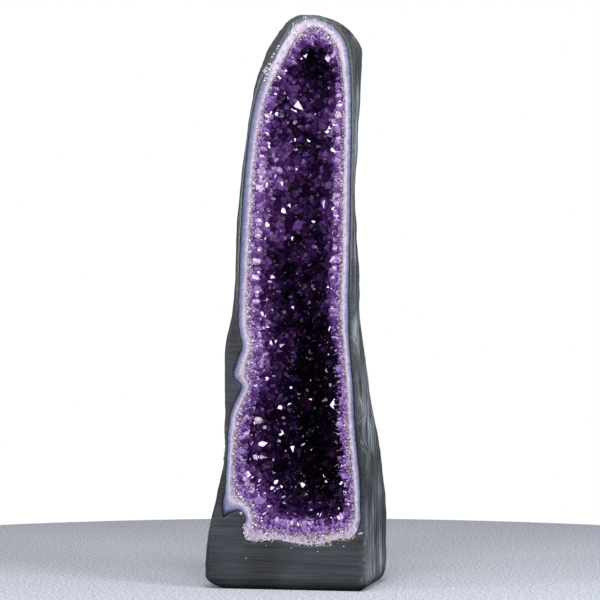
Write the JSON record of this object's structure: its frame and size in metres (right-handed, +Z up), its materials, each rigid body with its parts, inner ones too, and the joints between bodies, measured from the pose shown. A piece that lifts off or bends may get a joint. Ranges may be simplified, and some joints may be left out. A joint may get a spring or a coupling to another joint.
{
  "type": "amethyst geode",
  "caption": "Tall half geode with an amethyst crystal hollow in an agate rim, cut flat in front and set in a cast cement base and backing.",
  "frame": {"origin": "centre of the bounding box in X and Y, on the underside of the cement base", "axes": "+Z up along the height, the flat cut face looks along -Y, +X to the right as seen from the front"},
  "size_m": [0.2648, 0.218, 0.898],
  "materials": {
    "agate_shell": "polished",
    "amethyst_crystal_01": "polished",
    "amethyst_crystal_02": "polished",
    "amethyst_crystal_03": "polished",
    "amethyst_crystal_04": "polished",
    "amethyst_crystal_05": "polished",
    "amethyst_crystal_06": "polished",
    "amethyst_crystal_07": "polished",
    "amethyst_crystal_08": "polished",
    "amethyst_crystal_09": "polished",
    "amethyst_crystal_10": "polished",
    "amethyst_crystal_11": "polished",
    "amethyst_crystal_12": "polished",
    "amethyst_crystal_13": "polished",
    "amethyst_crystal_14": "polished",
    "amethyst_crystal_15": "polished",
    "amethyst_crystal_16": "polished",
    "amethyst_crystal_17": "polished",
    "amethyst_crystal_18": "polished",
    "amethyst_crystal_19": "polished",
    "amethyst_crystal_20": "polished",
    "amethyst_crystal_21": "polished",
    "amethyst_crystal_22": "polished",
    "amethyst_crystal_23": "polished",
    "amethyst_crystal_24": "polished",
    "amethyst_crystal_25": "polished",
    "amethyst_crystal_26": "polished",
    "amethyst_crystal_27": "polished",
    "amethyst_crystal_28": "polished",
    "amethyst_crystal_29": "polished",
    "amethyst_crystal_30": "polished",
    "amethyst_crystal_31": "polished",
    "amethyst_lining": "gloss",
    "cement_casing": "matte"
  },
  "bodies": {
    "root": {"agate_shell": "agate_shell", "amethyst_crystal_01": "amethyst_crystal_01", "amethyst_crystal_02": "amethyst_crystal_02", "amethyst_crystal_03": "amethyst_crystal_03", "amethyst_crystal_04": "amethyst_crystal_04", "amethyst_crystal_05": "amethyst_crystal_05", "amethyst_crystal_06": "amethyst_crystal_06", "amethyst_crystal_07": "amethyst_crystal_07", "amethyst_crystal_08": "amethyst_crystal_08", "amethyst_crystal_09": "amethyst_crystal_09", "amethyst_crystal_10": "amethyst_crystal_10", "amethyst_crystal_11": "amethyst_crystal_11", "amethyst_crystal_12": "amethyst_crystal_12", "amethyst_crystal_13": "amethyst_crystal_13", "amethyst_crystal_14": "amethyst_crystal_14", "amethyst_crystal_15": "amethyst_crystal_15", "amethyst_crystal_16": "amethyst_crystal_16", "amethyst_crystal_17": "amethyst_crystal_17", "amethyst_crystal_18": "amethyst_crystal_18", "amethyst_crystal_19": "amethyst_crystal_19", "amethyst_crystal_20": "amethyst_crystal_20", "amethyst_crystal_21": "amethyst_crystal_21", "amethyst_crystal_22": "amethyst_crystal_22", "amethyst_crystal_23": "amethyst_crystal_23", "amethyst_crystal_24": "amethyst_crystal_24", "amethyst_crystal_25": "amethyst_crystal_25", "amethyst_crystal_26": "amethyst_crystal_26", "amethyst_crystal_27": "amethyst_crystal_27", "amethyst_crystal_28": "amethyst_crystal_28", "amethyst_crystal_29": "amethyst_crystal_29", "amethyst_crystal_30": "amethyst_crystal_30", "amethyst_crystal_31": "amethyst_crystal_31", "amethyst_lining": "amethyst_lining", "cement_casing": "cement_casing"}
  },
  "joints": []
}
